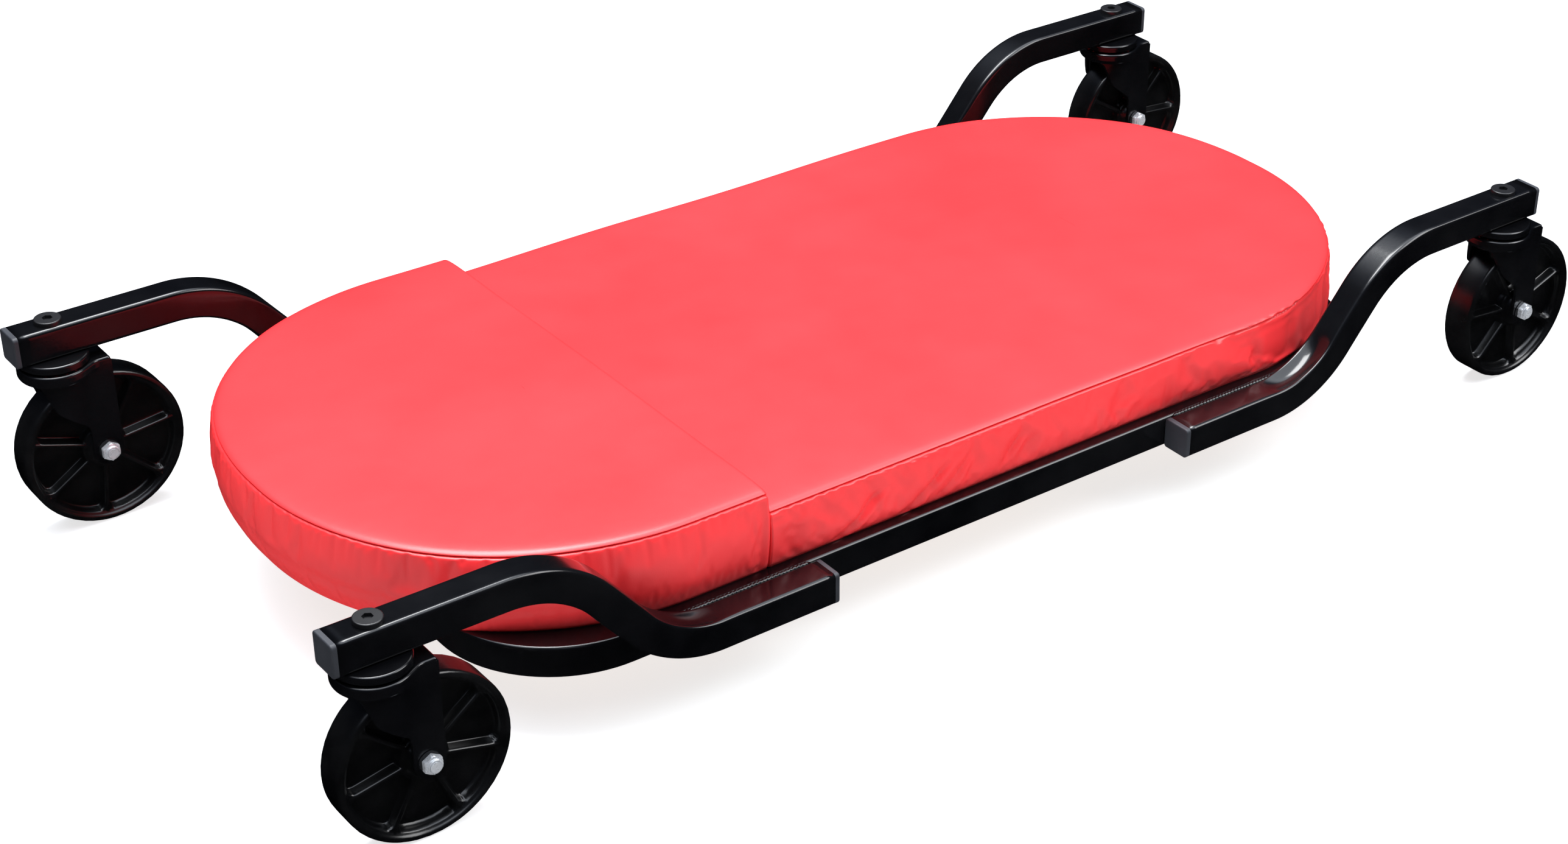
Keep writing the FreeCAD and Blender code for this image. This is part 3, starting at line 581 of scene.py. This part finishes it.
make_cushion("body_cushion", 1, BODY_TOP, ["body_cover", "body_foam"], 320)
make_cushion("head_cushion", -1, HEAD_TOP, ["head_cover", "head_foam"], 260)


# ---------------------------------------------------------------- arms
TUBE = 0.025
TUBE_CORNER = 0.0032
ARM_RUN = [(0.169, 0.0), (0.3023, 0.0), (0.3838, 0.097), (0.546, 0.097)]
BEND = 0.090
DISH_DEPTH = 0.0042
DISH_REACH = 0.034      # half the length of a dish along the tube
DISH_SWELL = 0.028      # share by which the tube widens where it is dished


def arm_line():
    """Stations (x, z, direction angle, dish above, dish below) along the bent centre line."""
    (x0, z0), (x1, z1), (x2, z2), (x3, z3) = ARM_RUN
    slope = math.atan2(z2 - z1, x2 - x1)
    reach = BEND * math.tan(slope / 2)
    rise = Vector((math.cos(slope), math.sin(slope)))
    stations = []

    def straight(start, end, angle, count):
        for i in range(count):
            spot = start.lerp(end, i / count)
            stations.append([spot.x, spot.y, angle])

    def bend(start, angle_from, angle_to, count):
        sign = 1 if angle_to > angle_from else -1
        side = Vector((-math.sin(angle_from), math.cos(angle_from))) * sign
        centre = start + side * BEND
        for i in range(count):
            angle = angle_from + (angle_to - angle_from) * i / count
            out = Vector((math.sin(angle), -math.cos(angle))) * sign
            spot = centre + out * BEND
            stations.append([spot.x, spot.y, angle])

    low_in = Vector((x1 - reach, z1))
    low_out = Vector((x1, z1)) + rise * reach
    high_in = Vector((x2, z2)) - rise * reach
    high_out = Vector((x2 + reach, z2))
    straight(Vector((x0, z0)), low_in, 0.0, 14)
    bend(low_in, 0.0, slope, 30)
    straight(low_out, high_in, slope, 8)
    bend(high_in, slope, 0.0, 30)
    straight(high_out, Vector((x3, z3)), 0.0, 14)
    stations.append([x3, z3, 0.0])
    low_middle = (low_in + low_out) / 2
    high_middle = (high_in + high_out) / 2
    for station in stations:
        spot = Vector(station[:2])
        above = math.exp(-((spot - low_middle).length / DISH_REACH) ** 4)
        below = math.exp(-((spot - high_middle).length / DISH_REACH) ** 4)
        station += [above, below]
    return stations


def tube_section(faces=12, turn=6):
    """Rounded square (across, up), with points enough on each face to be dished."""
    half = TUBE / 2
    flat = half - TUBE_CORNER
    loop = []
    for quarter in range(4):
        angle = quarter * math.pi / 2
        c, s = math.cos(angle), math.sin(angle)
        side = [(half, -flat + 2 * flat * i / faces) for i in range(faces)]
        bend = [(flat + TUBE_CORNER * math.cos(math.pi / 2 * i / turn),
                 flat + TUBE_CORNER * math.sin(math.pi / 2 * i / turn)) for i in range(turn)]
        for u, v in side + bend:
            loop.append((u * c - v * s, u * s + v * c))
    return loop


def make_arm(end, side):
    node = "arm_%s_%s" % (end, side)
    low, high = lowest_highest(node)
    facing = 1 if end == "foot" else -1
    middle_y = (low.y + high.y) / 2
    base_z = low.z + TUBE / 2
    section = tube_section()
    half = TUBE / 2
    points, faces = [], []
    stations = arm_line()
    for x, z, angle, above, below in stations:
        for across, up in section:
            share = max(0.0, 1.0 - (across / (half - 0.0012)) ** 2)
            if up > 0.6 * half:
                up -= DISH_DEPTH * above * share ** 1.3
            elif up < -0.6 * half:
                up += DISH_DEPTH * below * share ** 1.3
            wide = across * (1.0 + DISH_SWELL * (above + below))
            px = x - up * math.sin(angle)
            pz = z + up * math.cos(angle)
            points.append(Vector((FRAME_X + facing * px, middle_y + wide, base_z + pz)))
    ring = len(section)
    for i in range(len(stations) - 1):
        for j in range(ring):
            a, b = i * ring + j, i * ring + (j + 1) % ring
            faces.append((a, b, b + ring, a + ring))
    faces.append(tuple(range(ring)))
    faces.append(tuple((len(stations) - 1) * ring + j for j in range(ring)))
    piece = mesh_object("bent_" + node, points, faces, BLACK)
    outward(piece)
    for polygon in piece.data.polygons:
        polygon.use_smooth = len(polygon.vertices) == 4
    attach(piece, ROOT)
    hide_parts(node)


for end in ("head", "foot"):
    for side in ("left", "right"):
        make_arm(end, side)


# ---------------------------------------------------------------- wheels
WHEEL_RADIUS = 0.0625
WHEEL_HALF = 0.013
TREAD_ROUND = 0.003
AXLE_HOLE = 0.006075
HUB_FACE = 0.0145
HUB_EDGE = 0.0120
HUB_RADIUS = 0.0155
RIB_PLANE = 0.0105
RIB_HALF = 0.0013
RIB_CROWN = 0.0009
WEB_HALF = 0.0026
POCKET_START = 0.0170
POCKET_END = 0.0555
POCKET_ROUND = 0.006
WALL_SLOPE = 0.0017
RIBS = 7
# Where a rib of each wheel points, in degrees up from +X: each wheel stopped at its own angle.
RIB_ANGLE = {("head", "left"): 7, ("foot", "left"): -5, ("head", "right"): -15,
             ("foot", "right"): 20}


def wheel_face(radius, aside):
    """Height of a wheel's face over its middle plane, aside from the nearest rib's line."""
    if radius <= HUB_EDGE:
        return HUB_FACE
    if radius < HUB_RADIUS:
        share = (radius - HUB_EDGE) / (HUB_RADIUS - HUB_EDGE)
        return HUB_FACE + (RIB_PLANE - HUB_FACE) * smooth_step(share, 0.0, 1.0)
    if radius > POCKET_END:
        lip = smooth_step(radius, POCKET_END + 0.0008, POCKET_END + 0.0034)
        return RIB_PLANE + (WHEEL_HALF - RIB_PLANE) * lip
    from_rib = aside - RIB_HALF
    from_rim = POCKET_END - radius
    if from_rib < POCKET_ROUND and from_rim < POCKET_ROUND:
        room = POCKET_ROUND - math.hypot(POCKET_ROUND - from_rib, POCKET_ROUND - from_rim)
    else:
        room = min(from_rib, from_rim)
    room = min(room, radius - POCKET_START)
    crest = RIB_PLANE - RIB_CROWN * min(1.0, aside / RIB_HALF) ** 2
    return crest - (crest - WEB_HALF) * smooth_step(room, 0.0, WALL_SLOPE)


def wheel_columns(radius):
    """Angles and distances from the rib line across one sector, rib to rib."""
    half_step = math.pi / RIBS
    near = []
    for offset, share in ((0.0, 0.0), (0.0008, 0.12), (0.0014, 0.24), (0.0018, 0.36),
                          (0.0026, 0.48), (0.0034, 0.6), (0.0044, 0.72), (0.0060, 0.80)):
        angle = math.asin(min(0.99, offset / radius))
        near.append(min(angle, share * half_step))
    last = near[-1]
    near += [last + (half_step - last) * share for share in (0.3, 0.6, 1.0)]
    mirrored = [2 * half_step - angle for angle in near[-2:0:-1]]
    columns = []
    for angle in near + mirrored:
        columns.append((angle, radius * math.sin(min(angle, 2 * half_step - angle))))
    return columns


def wheel_rows():
    """(radius, side) over one face, then (radius, height) over half the tread."""
    face = [AXLE_HOLE, 0.0090, HUB_EDGE, 0.0130, 0.0142, HUB_RADIUS, 0.0163, POCKET_START, 0.0176,
            0.0184, 0.0192, 0.0202, 0.0225, 0.0260, 0.0305, 0.0350, 0.0395, 0.0435, 0.0465,
            0.0490, 0.0508, 0.0520, 0.0530, 0.0539, 0.0547, POCKET_END, 0.0562, 0.0569, 0.0576,
            0.0583, 0.0590, WHEEL_RADIUS - TREAD_ROUND]
    tread = []
    for turn in (20, 40, 60, 80):
        angle = math.radians(turn)
        tread.append((WHEEL_RADIUS - TREAD_ROUND * (1 - math.sin(angle)),
                      WHEEL_HALF - TREAD_ROUND * (1 - math.cos(angle))))
    tread += [(WHEEL_RADIUS, 0.0085), (WHEEL_RADIUS, 0.0042), (WHEEL_RADIUS, 0.0)]
    return face, tread


def make_wheel(end, side):
    node = "wheel_%s_%s" % (end, side)
    low, high = lowest_highest(node)
    centre = (low + high) / 2
    start = math.radians(RIB_ANGLE[(end, side)])
    face, tread = wheel_rows()
    rows = [(radius, None, 1) for radius in face] + [(r, y, 1) for r, y in tread]
    rows += [(r, -y, -1) for r, y in tread[-2::-1]] + [(radius, None, -1) for radius in face[::-1]]
    points = []
    for radius, height, sign in rows:
        for sector in range(RIBS):
            for angle, aside in wheel_columns(radius):
                turn = start + 2 * math.pi * sector / RIBS + angle
                y = sign * wheel_face(radius, aside) if height is None else height
                points.append(centre + Vector((radius * math.cos(turn), y,
                                               radius * math.sin(turn))))
    ring = len(points) // len(rows)
    faces = []
    for i in range(len(rows)):
        first, second = i * ring, (i + 1) % len(rows) * ring
        for j in range(ring):
            k = (j + 1) % ring
            faces.append((first + j, first + k, second + k, second + j))
    piece = mesh_object("ribbed_" + node, points, faces, WHEEL)
    outward(piece)
    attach(piece, node)
    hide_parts(node)


for end, side in RIB_ANGLE:
    make_wheel(end, side)


# ---------------------------------------------------------------- axle locknuts
NUT_FLATS = 0.013
AXLE_RADIUS = 0.004


def make_locknut(end, side):
    """Hex nut with chamfered corners and a turned collar round the end of the axle."""
    node = "axle_nut_%s_%s" % (end, side)
    low, high = lowest_highest(node)
    centre = (low + high) / 2
    long = high.y - low.y
    collar = NUT_FLATS * 0.42
    rows = [  # (share of the height, radius unless the hexagon is narrower there)
        (0.00, NUT_FLATS * 0.49), (0.03, NUT_FLATS), (0.56, NUT_FLATS), (0.64, NUT_FLATS * 0.515),
        (0.69, collar + 0.0004), (0.70, collar), (0.90, collar), (0.97, collar - 0.0004),
        (1.00, collar - 0.0010), (1.00, AXLE_RADIUS + 0.0006), (0.94, AXLE_RADIUS + 0.0002),
        (0.94, AXLE_RADIUS - 0.0002), (0.00, AXLE_RADIUS - 0.0002)]
    ring = 48
    points = []
    for share, limit in rows:
        for k in range(ring):
            turn = 2 * math.pi * k / ring
            flat = (turn + math.pi / 6) % (math.pi / 3) - math.pi / 6
            radius = min(NUT_FLATS / 2 / math.cos(flat), limit)
            points.append(Vector((centre.x + radius * math.cos(turn), high.y - long * share,
                                  centre.z + radius * math.sin(turn))))
    faces = []
    for i in range(len(rows)):
        first, second = i * ring, (i + 1) % len(rows) * ring
        for k in range(ring):
            j = (k + 1) % ring
            faces.append((first + k, first + j, second + j, second + k))
    piece = mesh_object("lock_" + node, points, faces, ZINC)
    outward(piece)
    piece.data.set_sharp_from_angle(angle=math.radians(28))
    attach(piece, "swivel_%s_%s" % (end, side))
    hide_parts(node)


for end, side in RIB_ANGLE:
    make_locknut(end, side)


# ---------------------------------------------------------------- welds
WELD_LONG = 0.118
WELD_SINK = 0.0012
RIPPLE_STEP = 0.0011
ARM_BEAD = 0.0019
END_BEAD = 0.0021
BRACE_BEAD = 0.0020


def weld_bead(name, start, finish, size):
    """A run of small overlapping weld ripples along a joint."""
    run = finish - start
    count = max(6, int(run.length / RIPPLE_STEP))
    along = run.normalized()
    side = along.cross(Vector((0, 0, 1)))
    side = side.normalized() if side.length > 0.1 else Vector((1, 0, 0))
    over = side.cross(along)
    points, faces = [], []
    ring = 8
    for i in range(count + 1):
        end_taper = min(1.0, 0.35 + 0.3 * min(i, count - i))
        ripple = 1.0 + 0.16 * math.cos(2 * math.pi * i / 3.0) + 0.06 * math.sin(i * 1.7)
        centre = start + run * (i / count)
        for k in range(ring):
            turn = 2 * math.pi * k / ring
            points.append(centre + (side * math.cos(turn) + over * math.sin(turn))
                          * size * end_taper * ripple)
    for i in range(count):
        for k in range(ring):
            a, b = i * ring + k, i * ring + (k + 1) % ring
            faces.append((a, b, b + ring, a + ring))
    faces.append(tuple(range(ring)))
    faces.append(tuple(count * ring + k for k in range(ring)))
    piece = mesh_object(name, points, faces, BLACK)
    outward(piece)
    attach(piece, ROOT)


def make_welds():
    rail_top = lowest_highest("frame_head_half")[1].z
    for end in ("head", "foot"):
        facing = 1 if end == "foot" else -1
        for side in ("left", "right"):
            low, high = lowest_highest("arm_%s_%s" % (end, side))
            hand = 1 if side == "left" else -1
            joint_y = low.y if side == "left" else high.y
            inner = low.x if end == "foot" else high.x
            groove = rail_top - WELD_SINK
            under = low.z + WELD_SINK
            near_x = inner + facing * 0.004
            far_x = inner + facing * WELD_LONG
            end_x = inner + facing * 0.002
            end_y = joint_y - hand * 0.0004
            name = "weld_%s_%s" % (end, side)
            weld_bead(name + "_top", Vector((near_x, joint_y, groove)),
                      Vector((far_x, joint_y, groove)), ARM_BEAD)
            weld_bead(name + "_under", Vector((near_x, joint_y, under)),
                      Vector((far_x, joint_y, under)), ARM_BEAD)
            weld_bead(name + "_end", Vector((end_x, end_y, groove - 0.003)),
                      Vector((end_x, end_y, low.z + 0.004)), END_BEAD)
        low, high = lowest_highest("brace_" + end)
        for hand in (1, -1):
            rail_y = high.y if hand > 0 else low.y
            for x in (low.x, high.x):
                name = "weld_brace_%s_%s_%s" % (end, "left" if hand > 0 else "right",
                                                "a" if x == low.x else "b")
                weld_bead(name, Vector((x, rail_y, low.z + 0.003)),
                          Vector((x, rail_y, high.z - 0.003)), BRACE_BEAD)


make_welds()


# ---------------------------------------------------------------- floor, light, camera
FLOOR_SIZE = 30
FLOOR_GLOW = 0.74
KEY_POWER = 40
TOP_POWER = 105


def make_floor():
    bpy.ops.mesh.primitive_plane_add(size=FLOOR_SIZE, location=(0, 0, 0))
    floor = bpy.context.object
    floor.name = "floor"
    material, tree, shader = new_material("floor_paper")
    shade = ramp(tree, noise_texture(tree, 3.0, 3.0, 0.5), [(0.3, (0.40, 0.40, 0.405)),
                                                            (0.7, (0.43, 0.43, 0.43))])
    tree.links.new(shade, shader.inputs["Base Color"])
    shader.inputs["Roughness"].default_value = 0.9
    shader.inputs["Specular IOR Level"].default_value = 0.1
    shader.inputs["Emission Color"].default_value = (1, 1, 1, 1)
    shader.inputs["Emission Strength"].default_value = FLOOR_GLOW
    floor.data.materials.append(material)
    floor.visible_glossy = False


def area_light(name, place, target, size, power):
    data = bpy.data.lights.new(name, "AREA")
    data.shape = "RECTANGLE"
    data.size, data.size_y = size
    data.energy = power
    light = bpy.data.objects.new(name, data)
    light.location = place
    light.rotation_euler = (Vector(target) - Vector(place)).to_track_quat("-Z", "Y").to_euler()
    scene.collection.objects.link(light)


def make_light():
    world = bpy.data.worlds.new("studio")
    world.use_nodes = True
    tree = world.node_tree
    height = add_node(tree, "ShaderNodeSeparateXYZ")
    tree.links.new(add_node(tree, "ShaderNodeTexCoord").outputs["Generated"],
                   height.inputs["Vector"])
    sky = ramp(tree, height.outputs["Z"], [(0.0, (0.0, 0.0, 0.0)), (0.60, (0.02, 0.025, 0.04)),
                                           (0.74, (0.25, 0.29, 0.38)), (0.86, (3.0, 3.2, 3.5))])
    background = tree.nodes["Background"]
    tree.links.new(sky, background.inputs["Color"])
    background.inputs["Strength"].default_value = 1.0
    scene.world = world
    area_light("key", (FRAME_X + 1.5, -1.35, 1.95), (0, 0, 0.1), (1.6, 1.1), KEY_POWER)
    area_light("top", (FRAME_X - 0.2, 0.5, 2.6), (0, 0, 0), (1.8, 1.1), TOP_POWER)


def make_camera():
    place = Vector((FRAME_X - 1.1373, -1.5466, 1.1393))
    ahead = Vector((0.54072, 0.66705, -0.51250))
    up = Vector((0.30443, 0.41278, 0.85845))
    right = ahead.cross(up).normalized()
    up = right.cross(ahead).normalized()
    turn = Matrix((right, up, -ahead)).transposed()
    data = bpy.data.cameras.new("camera")
    data.sensor_width = 36
    data.lens = 63.68
    data.shift_x = -0.0920
    data.shift_y = 0.0195
    camera = bpy.data.objects.new("camera", data)
    camera.matrix_world = Matrix.Translation(place) @ turn.to_4x4()
    scene.collection.objects.link(camera)
    scene.camera = camera


make_floor()
make_light()
make_camera()
scene.view_settings.view_transform = "Standard"
